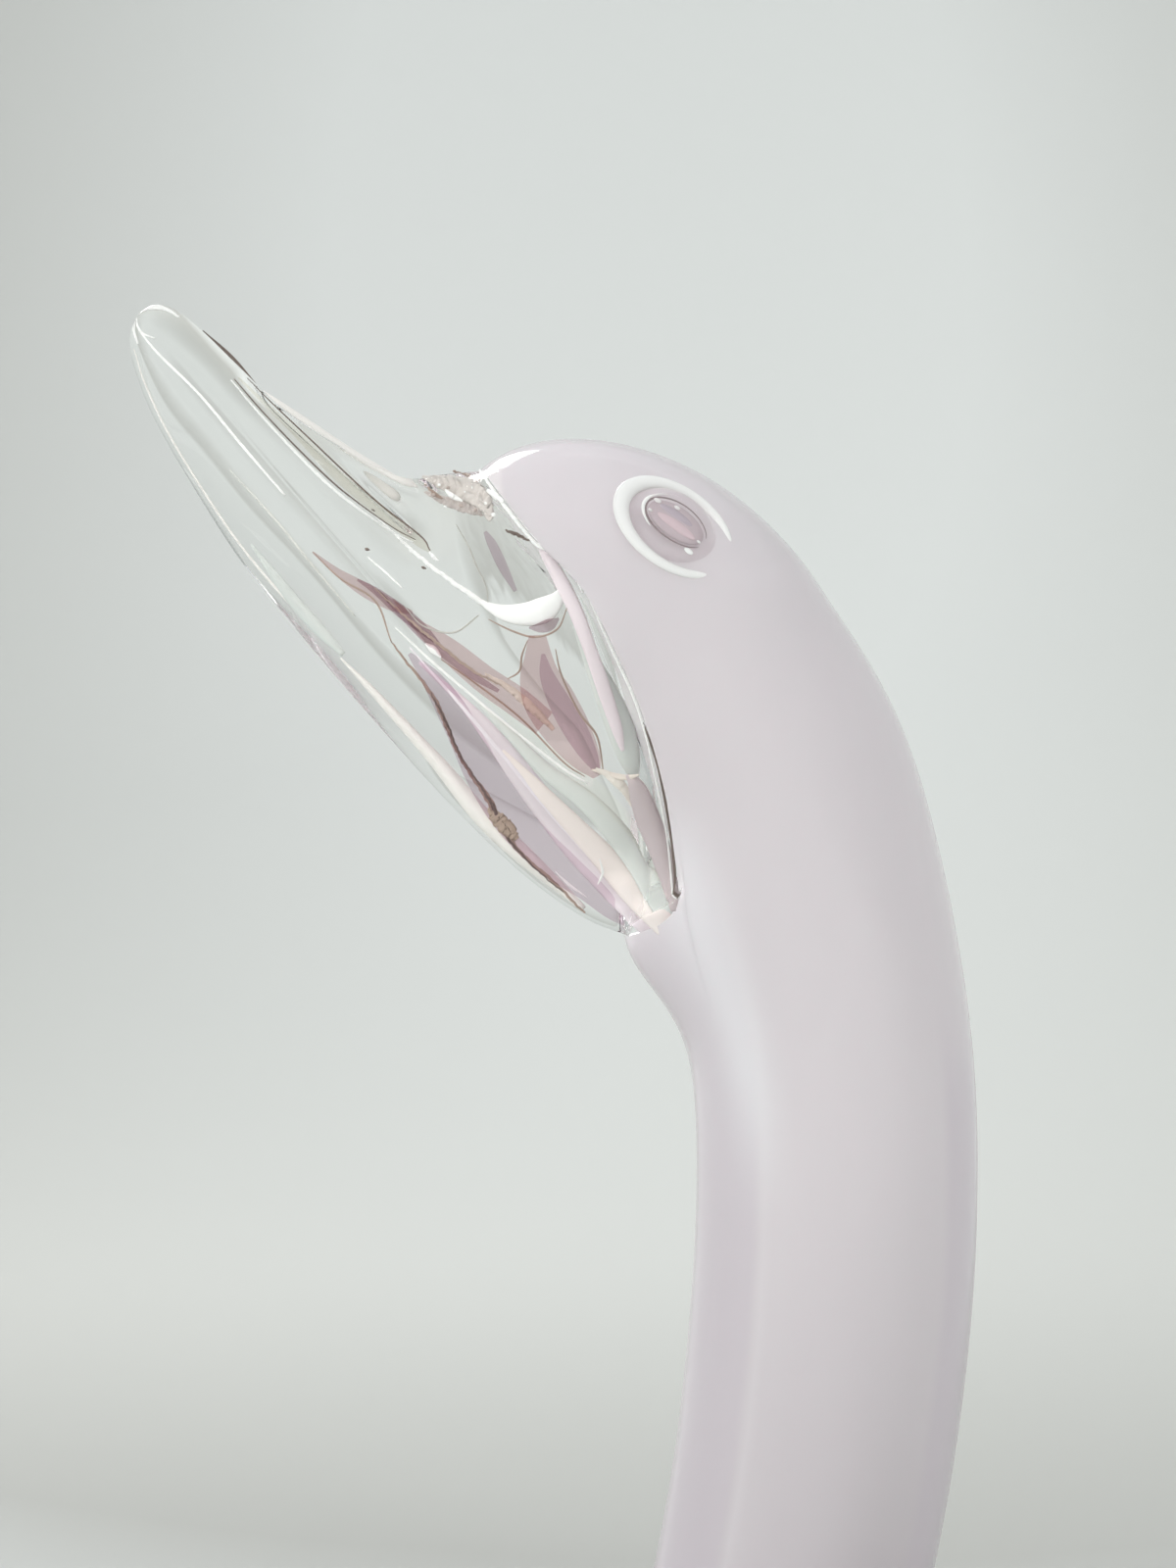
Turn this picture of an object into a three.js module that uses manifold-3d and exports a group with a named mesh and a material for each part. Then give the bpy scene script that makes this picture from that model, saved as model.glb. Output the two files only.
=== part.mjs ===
// Head and neck of a hot-worked glass swan, cut flat below so that it stands as a bust.
// A thick rod of milky lilac glass curves up from a ground foot and bends over into the head. Its end is
// cut slantwise from the brow to the throat, and a bill of clear glass is fused to that slanting face. Two
// drops of clear glass are the eyes. Millimetres, +Z up, the bill towards -X, both sides of Y = 0 alike.
import * as THREE from "three";
import { mergeVertices } from "three/addons/utils/BufferGeometryUtils.js";
import Module from "manifold-3d";

const wasm = await Module();
wasm.setup();

// The rod that makes the neck and the head
const NECK_RADIUS = 12.2;
const FOOT_RADIUS = 11.9;
const FOOT_FLARE = 30; // height over which the rod grows from one to the other
const FOOT_ARRIS = 0.7; // bevel ground round the foot
const ROD_AXIS = [
  [-1.4, -6.5],
  [0, 0],
  [3.1, 17],
  [4.7, 35.5],
  [4.0, 52.5],
  [0, 71],
  [-5.6, 81.5],
  [-11.7, 88.6],
  [-27.4, 98.9],
]; // X and Z of points on the rod's centre line, from under the foot to the brow
const CROWN_LENGTH = 20.2; // along the axis, over which the crown rounds off to the brow
const NECK_LENGTH = 55; // along the axis from its start, up to where the head begins
const THROAT_SWELL = 3.9; // how far the throat stands out in front of the rod
const THROAT_HEIGHT = 63; // Z of its fullest point
const THROAT_SPREAD = 5.2; // how far it spreads up and down the neck

// The slanting face where the clear glass meets the lilac glass
const FACE_LINE = [
  [-30.5, 105.5],
  [-26.2, 100.4],
  [-21.1, 93.7],
  [-16.9, 89.0],
  [-12.0, 78.6],
  [-9.1, 67.1],
  [-9.4, 61.6],
  [-12.8, 58.9],
  [-18.5, 57.6],
]; // X and Z, from over the brow to under the throat
const SEAM = 0.3; // space left between pieces that are fused in the real figure

// The clear bill, from its root on the face to its tip: X and Z of the ridge, of the chin under it, and the
// half width between them. It is rooted behind the rim of the face, at the brow and at the throat.
const ROOT = { behindBrow: 1.9, behindThroat: 0.4, half: 8.4 };
const BILL_STATIONS = [
  { ridge: [-29.5, 99.9], chin: [-17.3, 61.6], half: 8.2 },
  { ridge: [-32.5, 99.6], chin: [-22.6, 65.4], half: 7.6 },
  { ridge: [-36.2, 101.1], chin: [-28.6, 71.2], half: 6.9 },
  { ridge: [-40.0, 103.4], chin: [-35.0, 78.2], half: 6.1 },
  { ridge: [-43.6, 105.9], chin: [-41.1, 85.3], half: 5.2 },
  { ridge: [-47.0, 109.2], chin: [-46.8, 92.3], half: 4.3 },
  { ridge: [-50.4, 112.5], chin: [-51.4, 99.5], half: 3.4 },
  { ridge: [-52.6, 114.2], chin: [-54.5, 105.0], half: 2.7 },
  { ridge: [-54.3, 114.6], chin: [-56.2, 109.4], half: 2.0 },
  { ridge: [-55.5, 114.0], chin: [-56.5, 111.4], half: 1.2 },
  { ridge: [-56.1, 113.1], chin: [-56.4, 112.4], half: 0.3 },
];
const SECTION_TOP_HEAVY = 0.76; // under 1, a section is fullest above its middle
const SECTION_BLUNT = 0.6; // the lower, the blunter the ridge and the chin
const ROOT_BEND = 0.45; // share of the bill over which its sections straighten out from the bent face
const CHEEK_BLEND = 4; // how softly the bill flows into the sides of the head
const FURROW = { deep: 0.6, long: 0.1 }; // round the seam: its depth, and its share of the bill's length
const LEAST_HALF = 0.05; // half width of the bill's mesh just beside the ridge and the chin
const ROOT_DEPTH = 0; // X of the point in the rod that the root of the bill runs to before it is cut
const ROOT_NARROWING = 0.2; // how far the ring there is drawn in
const BILL_PITCH = THREE.MathUtils.degToRad(44); // the bill's rise above the level
const BILL_TIP = [-54.9, 114.1]; // where distances along the bill are counted from
// Two marks of the pincers run along each side: one under the ridge, and the line between the mandibles.
// Each has its start and end along the bill, its drop under the middle line at the tip and how that grows,
// its half width, and how much of the bill's thickness it takes away.
const GROOVE = { from: 9, to: 33, fade: 5, drop: -1.9, growth: 0, width: 1.3, pinch: 0.5 };
const MOUTH = { from: 0.5, to: 41, fade: 7, drop: 0.9, growth: 0.085, width: 0.9, pinch: 0.24 };

// The eyes
const EYE_AT = [-9.5, 95.4]; // X and Z of the middle of each
const EYE_SIZE = [8.6, 7.4]; // along the head and across it
const EYE_HEIGHT = 1.9; // how far the drop stands out
const EYE_SINK = 1.2; // how deep it is set

// How finely the forms are faceted
const ROD_FACETS = { around: 36, neck: 10, head: 28 };
const FACE_RINGS = 5;
const BILL_FACETS = { around: 52, along: 44 };
const GROOVE_ROW = 7; // the row of the bill's facets that follows the groove, counted down from the ridge
const MOUTH_ROW = 14; // and the one that follows the line of the mouth
const ROW_CROWDING = 1.7; // how much closer the rows lie at the ridge and at the chin
const ROW_ROOM = 0.12; // least share of a section above each of those rows
const GROOVE_SHARE = 0.5; // and the most above the one
const MOUTH_SHARE = 0.8; // and above the other
const FACE_EDGE = 0.3; // the part of a section near its ends that keeps to the bill's own outline
const EYE_FACETS = { around: 24, along: 12 };
const STEPS_TO_SEEK = 600; // places tried along a line when a crossing is looked for
const HALVINGS = 20; // of the step in which it is found
const SAME_POINT = 1e-4; // points nearer than this are one

const { clamp, lerp, smoothstep } = THREE.MathUtils;

// A curve in the plane Y = 0 through points given as [X, Z].
function sideCurve(points) {
  const places = points.map(([x, z]) => new THREE.Vector3(x, 0, z));
  return new THREE.CatmullRomCurve3(places, false, "catmullrom", 0.5);
}

const axis = sideCurve(ROD_AXIS);
const AXIS_LENGTH = axis.getLength();
const faceLine = sideCurve(FACE_LINE);

// Centre, front direction and radius of the rod at a length along its axis, grown outwards where asked.
function rodAt(length, grow = 0) {
  const share = clamp(length / AXIS_LENGTH, 0, 1);
  const centre = axis.getPointAt(share);
  const along = axis.getTangentAt(share);
  const front = new THREE.Vector3(-along.z, 0, along.x);
  const round = Math.max(0, (length - AXIS_LENGTH + CROWN_LENGTH) / (CROWN_LENGTH + grow));
  const body = lerp(FOOT_RADIUS, NECK_RADIUS, smoothstep(centre.z, 0, FOOT_FLARE)) + grow;
  return { centre, front, radius: body * Math.sqrt(Math.max(0, 1 - round * round)) };
}

// How far the throat stands out in front of the rod, straight ahead at a height.
function throatSwell(z) {
  return THROAT_SWELL * Math.exp(-(((z - THROAT_HEIGHT) / THROAT_SPREAD) ** 2) / 2);
}

// A point on the rod: angle 0 is the front, where the throat swells.
function rodPoint(length, angle, grow = 0) {
  const { centre, front, radius } = rodAt(length, grow);
  const swell = throatSwell(centre.z) * Math.max(0, Math.cos(angle)) ** 2;
  return centre
    .addScaledVector(front, (radius + swell) * Math.cos(angle))
    .add(new THREE.Vector3(0, radius * Math.sin(angle), 0));
}

// X of the slanting face at a height.
const faceTable = faceLine.getSpacedPoints(STEPS_TO_SEEK);
function faceX(z) {
  const after = faceTable.findIndex((p) => p.z <= z);
  if (after <= 0) return faceTable[after === 0 ? 0 : STEPS_TO_SEEK].x;
  const [a, b] = [faceTable[after - 1], faceTable[after]];
  return lerp(a.x, b.x, (a.z - z) / (a.z - b.z));
}

// The first length from start towards end where test(length) turns positive, by steps and then halving.
function firstCrossing(start, end, test) {
  let low = start;
  for (let i = 1; i <= STEPS_TO_SEEK; i++) {
    const at = lerp(start, end, i / STEPS_TO_SEEK);
    if (test(at) > 0) {
      let high = at;
      for (let k = 0; k < HALVINGS; k++) {
        const middle = (low + high) / 2;
        if (test(middle) > 0) high = middle;
        else low = middle;
      }
      return high;
    }
    low = at;
  }
  return end;
}

// The length along the rod at which the line of its surface at an angle meets the slanting face.
function faceLength(angle, grow = 0) {
  const past = (p) => faceX(p.z) - grow - p.x;
  return firstCrossing(NECK_LENGTH, AXIS_LENGTH, (length) => past(rodPoint(length, angle, grow)));
}

// A closed mesh whose surface point at (u, v) is given by place: u runs once round, and v from pole to pole.
function warped({ around, along }, place) {
  const shape = new THREE.SphereGeometry(1, around, along);
  const { position, uv } = shape.attributes;
  for (let i = 0; i < position.count; i++) {
    const row = Math.round((1 - uv.getY(i)) * along);
    const column = Math.round(uv.getX(i) * around) + around;
    const p = place((column % around) / around, row / along);
    position.setXYZ(i, p.x, p.y, p.z);
  }
  return shape;
}

// A geometry as a manifold-3d solid, and back.
function solid(geometry) {
  const bare = geometry.clone();
  bare.deleteAttribute("normal");
  bare.deleteAttribute("uv");
  const merged = mergeVertices(bare, SAME_POINT);
  const vertProperties = merged.attributes.position.array;
  const triVerts = new Uint32Array(merged.index.array);
  return new wasm.Manifold(new wasm.Mesh({ numProp: 3, vertProperties, triVerts }));
}

function geometryOf(made) {
  const mesh = made.getMesh();
  const shape = new THREE.BufferGeometry();
  shape.setAttribute("position", new THREE.BufferAttribute(mesh.vertProperties, 3));
  shape.setIndex(new THREE.BufferAttribute(mesh.triVerts, 1));
  return shape;
}

// The lilac rod: a ground foot, the neck and the head, and the slanting face. Lines run along the rod from
// the foot to the face, and rings close both ends. grow makes it that much fatter all round.
function rodGeometry(grow = 0) {
  const { around, neck, head } = ROD_FACETS;
  const along = neck + head;
  const rows = along + 2 * FACE_RINGS;
  const lines = Array.from({ length: around }, (_, i) => {
    const angle = (2 * Math.PI * i) / around;
    const at = (length) => rodPoint(length, angle, grow);
    const foot = firstCrossing(0, NECK_LENGTH, (length) => at(length).z - FOOT_ARRIS);
    return { at, foot, face: faceLength(angle, grow) };
  });
  const heights = lines.map(({ at, face }) => at(face).z);
  const middleZ = (Math.max(...heights) + Math.min(...heights)) / 2;
  const inward = 1 - FOOT_ARRIS / FOOT_RADIUS;
  return warped({ around, along: rows }, (u, v) => {
    const { at, foot, face } = lines[Math.round(u * around) % around];
    const row = Math.round(v * rows);
    if (row <= FACE_RINGS) {
      const edge = at(foot);
      return new THREE.Vector3(edge.x, edge.y, 0).multiplyScalar((inward * row) / FACE_RINGS);
    }
    if (row >= along + FACE_RINGS) {
      const share = (rows - row) / FACE_RINGS;
      const edge = at(face);
      const z = lerp(middleZ, edge.z, share);
      return new THREE.Vector3(faceX(z) - grow, edge.y * share, z);
    }
    const up = row - FACE_RINGS - 1;
    if (up < neck) return at(lerp(foot, NECK_LENGTH, up / neck));
    return at(lerp(NECK_LENGTH, face, Math.sin(((up - neck) / (head - 1)) * (Math.PI / 2))));
  });
}

// The place on the rod's axis that is nearest to a point.
const axisSteps = Array.from({ length: STEPS_TO_SEEK + 1 }, (_, i) => i / STEPS_TO_SEEK);
const axisTable = axisSteps.map((share) => rodAt(AXIS_LENGTH * share));
function nearestOnAxis(point) {
  const gap = ({ centre }) => centre.distanceToSquared(point);
  return axisTable.reduce((a, b) => (gap(a) < gap(b) ? a : b));
}

// Half the rod's width at a point of its side view, from the round of its section there.
function rodHalfWidth(x, z) {
  const at = new THREE.Vector3(x, 0, z);
  const { centre, front, radius } = nearestOnAxis(at);
  const ahead = at.clone().sub(centre).dot(front);
  const swell = ahead > 0 ? throatSwell(centre.z) * Math.min(1, ahead / radius) ** 2 : 0;
  const turn = at.distanceTo(centre) / (radius + swell);
  return radius * Math.sqrt(Math.max(0, 1 - turn * turn));
}

// The greater of two widths, with the step between them rounded over the distance soft.
function softMax(a, b, soft) {
  const near = Math.max(0, soft - Math.abs(a - b)) / soft;
  return Math.max(a, b) + (near * near * soft) / 4;
}

// The lines of the bill, from its root behind the rim of the face to its tip
const throat = rodPoint(faceLength(0), 0);
const brow = rodPoint(faceLength(Math.PI), Math.PI);
const ridgeLine = sideCurve([[brow.x + ROOT.behindBrow, brow.z], ...BILL_STATIONS.map((s) => s.ridge)]);
const chinLine = sideCurve([[throat.x + ROOT.behindThroat, throat.z], ...BILL_STATIONS.map((s) => s.chin)]);
const halfLine = sideCurve([ROOT.half, ...BILL_STATIONS.map((s) => s.half)].map((half, i) => [i, half]));

// How far a point of the bill's side lies along the bill from its tip, and below the middle line of a mark.
function alongMark(p, mark) {
  const back = p.x - BILL_TIP[0];
  const under = BILL_TIP[1] - p.z;
  const along = back * Math.cos(BILL_PITCH) + under * Math.sin(BILL_PITCH);
  const below = under * Math.cos(BILL_PITCH) - back * Math.sin(BILL_PITCH);
  return { along, off: below - mark.drop - mark.growth * along };
}

// How deep a pincer mark is at a point of the bill's side, as a share of the thickness there.
function pincerMark(p, mark) {
  const { along, off } = alongMark(p, mark);
  const begun = smoothstep(along, mark.from, mark.from + mark.fade);
  const ended = smoothstep(along, mark.to - mark.fade, mark.to);
  return mark.pinch * begun * (1 - ended) * Math.exp(-((off / mark.width) ** 2));
}

// The share of the way from ridge to chin at which a section of the bill has a row of its facets. One row
// follows each pincer mark, so that the mark has a clean line.
function rowShare(ridge, chin, row) {
  const crossing = (mark) => {
    const [top, bottom] = [alongMark(ridge, mark).off, alongMark(chin, mark).off];
    return top / (top - bottom);
  };
  const groove = clamp(crossing(GROOVE), ROW_ROOM, GROOVE_SHARE);
  const mouth = clamp(crossing(MOUTH), groove + ROW_ROOM, MOUTH_SHARE);
  if (row < GROOVE_ROW) return groove * (row / GROOVE_ROW) ** ROW_CROWDING;
  if (row < MOUTH_ROW) return lerp(groove, mouth, (row - GROOVE_ROW) / (MOUTH_ROW - GROOVE_ROW));
  const rows = BILL_FACETS.around / 2;
  return 1 - (1 - mouth) * ((rows - row) / (rows - MOUTH_ROW)) ** ROW_CROWDING;
}

// The clear bill: sections run from the ridge down to the chin, from the root on the face to the tip.
function billPoint(run, turn) {
  const ridge = ridgeLine.getPoint(run);
  const chin = chinLine.getPoint(run);
  const side = turn < 0.5 ? -1 : 1;
  const share = rowShare(ridge, chin, BILL_FACETS.around * Math.min(turn, 1 - turn));
  const p = ridge.clone().lerp(chin, share);
  const atRoot = (1 - smoothstep(run, 0, ROOT_BEND)) ** 2;
  p.x = lerp(p.x, faceX(p.z), atRoot * smoothstep(Math.sin(Math.PI * share), 0, FACE_EDGE));

  const belly = Math.sin(Math.PI * share ** SECTION_TOP_HEAVY) ** SECTION_BLUNT;
  const half = halfLine.getPoint(run).z * belly * (1 - pincerMark(p, GROOVE)) * (1 - pincerMark(p, MOUTH));
  const cheek = rodHalfWidth(p.x, p.z);
  const full = softMax(half, cheek, CHEEK_BLEND);
  const furrow = 1 - smoothstep(run, 0, FURROW.long);
  p.y = side * Math.max(LEAST_HALF, lerp(full, Math.min(full, cheek - FURROW.deep), furrow));
  return p.setY(share > 0 && share < 1 ? p.y : 0);
}

// The bill's mesh starts well inside the rod, at one point and then a narrowed ring, and ends at the tip.
function billGeometry() {
  const { around, along } = BILL_FACETS;
  const middle = (run) => ridgeLine.getPoint(run).lerp(chinLine.getPoint(run), 0.5);
  const inside = middle(0).setX(ROOT_DEPTH);
  return warped({ around, along }, (turn, v) => {
    const row = Math.round(v * along);
    if (row === 0) return inside;
    if (row === 1) return billPoint(0, turn).lerp(inside, ROOT_NARROWING);
    if (row === along) return middle(1);
    return billPoint((row - 2) / (along - 3), turn);
  });
}

// A drop of clear glass on one side of the head: an oval lens, longer along the head than across it.
function eyeGeometry(side) {
  const at = new THREE.Vector3(EYE_AT[0], side * rodHalfWidth(...EYE_AT), EYE_AT[1]);
  const { centre, front } = nearestOnAxis(at);
  const out = at.clone().sub(centre).normalize();
  const along = new THREE.Vector3(-front.z, 0, front.x);
  const across = new THREE.Vector3().crossVectors(out, along);
  const drop = new THREE.SphereGeometry(1, EYE_FACETS.around, EYE_FACETS.along);
  drop.scale(EYE_SIZE[0] / 2, EYE_SIZE[1] / 2, EYE_HEIGHT + EYE_SINK);
  drop.applyMatrix4(new THREE.Matrix4().makeBasis(along, across, out));
  const seat = at.clone().addScaledVector(out, -EYE_SINK);
  return drop.translate(seat.x, seat.y, seat.z);
}

// The finishes
const lilac = new THREE.MeshStandardMaterial({ color: 0xd9cdd0, roughness: 0.15, metalness: 0 });
const clear = new THREE.MeshStandardMaterial({ color: 0xe9eeea, roughness: 0.03, metalness: 0 });

const figure = new THREE.Group();
function add(name, made, material) {
  const mesh = new THREE.Mesh(geometryOf(made), material);
  mesh.name = name;
  figure.add(mesh);
}

// The rod as it is, and a fatter one that is cut out of what is fused to it
const rod = solid(rodGeometry());
const rodWithSeam = solid(rodGeometry(SEAM));
add("neck_and_head", rod, lilac);
add("bill", solid(billGeometry()).subtract(rodWithSeam), clear);
add("eye_left", solid(eyeGeometry(1)).subtract(rodWithSeam), clear);
add("eye_right", solid(eyeGeometry(-1)).subtract(rodWithSeam), clear);

export default figure;
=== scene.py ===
import math

import bpy
import numpy as np
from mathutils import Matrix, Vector


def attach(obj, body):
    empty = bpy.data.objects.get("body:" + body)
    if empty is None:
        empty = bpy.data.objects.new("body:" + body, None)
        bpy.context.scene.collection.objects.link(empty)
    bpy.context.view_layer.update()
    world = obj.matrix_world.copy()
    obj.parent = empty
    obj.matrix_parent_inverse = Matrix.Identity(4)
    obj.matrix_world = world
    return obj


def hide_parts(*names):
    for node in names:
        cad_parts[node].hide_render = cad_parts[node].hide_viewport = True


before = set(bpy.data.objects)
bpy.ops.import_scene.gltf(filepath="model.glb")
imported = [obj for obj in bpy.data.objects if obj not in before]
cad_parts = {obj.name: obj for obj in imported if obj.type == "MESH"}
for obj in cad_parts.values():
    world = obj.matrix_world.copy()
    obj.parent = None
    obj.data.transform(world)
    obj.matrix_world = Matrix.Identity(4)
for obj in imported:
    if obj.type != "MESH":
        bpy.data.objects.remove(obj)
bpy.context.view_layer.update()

# The neck and the head: one thick rod of milky lilac glass, drawn hot, bent over and rounded off at the crown.
# Its end is cut slantwise from brow to throat, where the clear glass is fused on, and its foot is sawn off flat
# and ground. Lengths are in millimetres until a mesh is made of them.

MM = 0.001
NECK_RADIUS = 12.2
FOOT_RADIUS = 11.9
FOOT_FLARE = 30
FOOT_ARRIS = 0.7
ROD_AXIS = [
    (-1.4, -6.5), (0, 0), (3.1, 17), (4.7, 35.5), (4.0, 52.5), (0, 71),
    (-5.6, 81.5), (-11.7, 88.6), (-27.4, 98.9),
]
CROWN_LENGTH = 20.2
NECK_LENGTH = 55
THROAT_SWELL = 3.9
THROAT_HEIGHT = 63
THROAT_SPREAD = 5.2
FACE_LINE = [
    (-30.5, 105.5), (-26.2, 100.4), (-21.1, 93.7), (-16.9, 89.0), (-12.0, 78.6),
    (-9.1, 67.1), (-9.3, 62.4), (-12.6, 60.2), (-18.5, 59.2),
]


def curve_through(points, t):
    """Points on a smooth curve through the given ones: each stretch is the cubic that leaves an end along
    the line between that end's neighbours. t runs from 0 to 1, in equal parts for all stretches."""
    p = np.asarray(points, float)
    p = np.vstack([2 * p[0] - p[1], p, 2 * p[-1] - p[-2]])
    x = np.clip(t, 0, 1) * (len(p) - 3)
    i = np.minimum(x.astype(int), len(p) - 4)
    f = (x - i)[..., None]
    a, b, c, d = p[i], p[i + 1], p[i + 2], p[i + 3]
    leave, arrive = (c - a) / 2, (d - b) / 2
    cubed, squared = 2 * b - 2 * c + leave + arrive, 3 * c - 3 * b - 2 * leave - arrive
    return cubed * f**3 + squared * f**2 + leave * f + b


def ramp(x, low, high):
    """0 below low, 1 above high, and the cubic 3t^2 - 2t^3 between them."""
    t = np.clip((x - low) / (high - low), 0, 1)
    return t * t * (3 - 2 * t)


axis_points = curve_through(ROD_AXIS, np.linspace(0, 1, 4001))
axis_lengths = np.concatenate([[0], np.cumsum(np.hypot(*np.diff(axis_points, axis=0).T))])
AXIS_LENGTH = axis_lengths[-1]
face_points = curve_through(FACE_LINE, np.linspace(0, 1, 2001))


def face_x(z):
    """X of the slanting face at a height, read off its line."""
    return np.interp(-np.asarray(z), -face_points[:, 1], face_points[:, 0])


def rod_at(length):
    """Centre (X, Z), unit front direction and radius of the rod at a length along its axis: the radius runs
    from the foot's to the neck's and ends as an ellipse over the crown's length."""
    x = np.interp(length, axis_lengths, axis_points[:, 0])
    z = np.interp(length, axis_lengths, axis_points[:, 1])
    dx = np.gradient(axis_points[:, 0], axis_lengths)
    dz = np.gradient(axis_points[:, 1], axis_lengths)
    ux, uz = np.interp(length, axis_lengths, dx), np.interp(length, axis_lengths, dz)
    size = np.hypot(ux, uz)
    rounding = np.clip((length - AXIS_LENGTH + CROWN_LENGTH) / CROWN_LENGTH, 0, 1)
    body = FOOT_RADIUS + (NECK_RADIUS - FOOT_RADIUS) * ramp(z, 0, FOOT_FLARE)
    return x, z, -uz / size, ux / size, body * np.sqrt(1 - rounding**2)


def throat_swell(z):
    """How far the throat stands out in front of the rod: a bell curve over its height."""
    return THROAT_SWELL * np.exp(-(((z - THROAT_HEIGHT) / THROAT_SPREAD) ** 2) / 2)


def rod_surface(length, angle):
    """A point on the rod: the axis point plus the radius turned by the angle from the front, where the throat's
    swell is added in proportion to the cubed cosine."""
    x, z, fx, fz, radius = rod_at(length)
    ahead = (radius + throat_swell(z) * np.maximum(0, np.cos(angle)) ** 2) * np.cos(angle)
    return np.stack([x + fx * ahead, radius * np.sin(angle), z + fz * ahead], axis=-1)


def crossing(start, end, test, steps=1500):
    """For each angle, the first length between start and end at which test turns positive: the first of many
    equal steps where it is, moved back along a straight line to where it is zero."""
    lengths = np.linspace(start, end, steps)
    values = test(lengths)
    first = np.clip(np.argmax(values > 0, axis=0), 1, steps - 1)
    low = np.take_along_axis(values, first[None] - 1, 0)[0]
    high = np.take_along_axis(values, first[None], 0)[0]
    share = np.clip(-low / (high - low), 0, 1)
    return lengths[first - 1] + share * (lengths[first] - lengths[first - 1])


def skin(name, rings):
    """A closed mesh over a grid of points in millimetres: each ring is joined to the next by quads, and the
    first and last rings close on the means of their points."""
    rings = np.asarray(rings, float)
    n, m, _ = rings.shape
    points = np.vstack([rings[0].mean(0), rings.reshape(-1, 3), rings[-1].mean(0)]) * MM
    j, k = np.arange(m), (np.arange(m) + 1) % m
    row = 1 + np.arange(n - 1)[:, None] * m
    quads = np.stack([row + j, row + k, row + m + k, row + m + j], axis=-1).reshape(-1, 4)
    last = 1 + (n - 1) * m
    first_cap = np.stack([np.zeros(m, int), k + 1, j + 1], axis=-1)
    last_cap = np.stack([np.full(m, n * m + 1), last + j, last + k], axis=-1)
    tris = np.vstack([quads[:, [0, 1, 2]], quads[:, [0, 2, 3]], first_cap, last_cap])
    a, b, c = points[tris[:, 0]], points[tris[:, 1]], points[tris[:, 2]]
    turned = np.einsum("ij,ij->i", a, np.cross(b, c)).sum() < 0
    faces = quads.tolist() + first_cap.tolist() + last_cap.tolist()
    if turned:
        faces = [face[::-1] for face in faces]
    mesh = bpy.data.meshes.new(name)
    mesh.from_pydata(points.tolist(), [], faces)
    mesh.update()
    mesh.polygons.foreach_set("use_smooth", np.ones(len(mesh.polygons), bool))
    piece = bpy.data.objects.new(name, mesh)
    bpy.context.collection.objects.link(piece)
    return piece


def material(name, **values):
    """A Principled material with plain values on the shader's own sockets, and its nodes, links and shader."""
    made = bpy.data.materials.new(name)
    made.use_nodes = True
    nodes = made.node_tree.nodes
    shader = nodes["Principled BSDF"]
    for socket, value in values.items():
        shader.inputs[socket.replace("_", " ")].default_value = value
    return made, nodes, made.node_tree.links, shader


AROUND = 168
NECK_STEPS = 60
HEAD_STEPS = 150
FACE_STEPS = 30
angles = 2 * np.pi * np.arange(AROUND) / AROUND
foot_length = crossing(0, NECK_LENGTH, lambda s: rod_surface(s[:, None], angles[None])[..., 2] - FOOT_ARRIS)


def past_face(s):
    """How far the rod's surface stands in front of the slanting face at each length and angle."""
    p = rod_surface(s[:, None], angles[None])
    return face_x(p[..., 2]) - p[..., 0]


face_length = crossing(NECK_LENGTH, AXIS_LENGTH, past_face)
up_neck = foot_length + (NECK_LENGTH - foot_length) * np.linspace(0, 1, NECK_STEPS)[:-1, None]
quarter_turn = np.linspace(0, np.pi / 2, HEAD_STEPS)[:, None]
up_head = NECK_LENGTH + (face_length - NECK_LENGTH) * np.sin(quarter_turn)
side = rod_surface(np.vstack([up_neck, up_head]), angles[None])
foot_edge = side[0] * [1, 1, 0]
foot = foot_edge * (1 - FOOT_ARRIS / FOOT_RADIUS) * np.array([0.01, 0.5, 0.97, 1.0])[:, None, None]
rim = side[-1]
face_middle = (rim[:, 2].max() + rim[:, 2].min()) / 2
inward = np.linspace(1, 0, FACE_STEPS)[1:-1, None]
face_z = face_middle + (rim[:, 2] - face_middle) * inward
face = np.stack([face_x(face_z), rim[:, 1] * inward, face_z], axis=-1)
neck = skin("swan_neck_and_head", np.concatenate([foot, side, face]))

# Along the neck run a painted highlight, a soft light patch at the throat where the left lamp's reflection
# falls, two darker lilac bands at the nape and the front with a thin painted highlight line beside the front
# one, and painted shade, darker towards the foot. front is the cosine of the angle from the front.
HIGHLIGHT_FRONT, HIGHLIGHT_LEAN, HIGHLIGHT_WIDTH = 0.60, 0.006, 0.17
NAPE_BAND, FRONT_BAND, FRONT_BAND_SHARE = -0.75, 0.59, 0.8
HIGHLIGHT_LINE_FRONT, HIGHLIGHT_LINE_WIDTH = 0.53, 0.035
heights = np.concatenate([foot, side, face])[..., 2]
front = np.cos(angles) * np.ones_like(heights)
highlight_patch = np.exp(-(((front - HIGHLIGHT_FRONT - (heights - 45) * HIGHLIGHT_LEAN) / HIGHLIGHT_WIDTH) ** 2))
nape_band = (1 - ramp(front, NAPE_BAND - 0.05, NAPE_BAND + 0.05)) * (1 - ramp(heights, 44, 56))
front_band = ramp(front, FRONT_BAND - 0.03, FRONT_BAND + 0.03) * (1 - ramp(heights, 58, 70))
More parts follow.
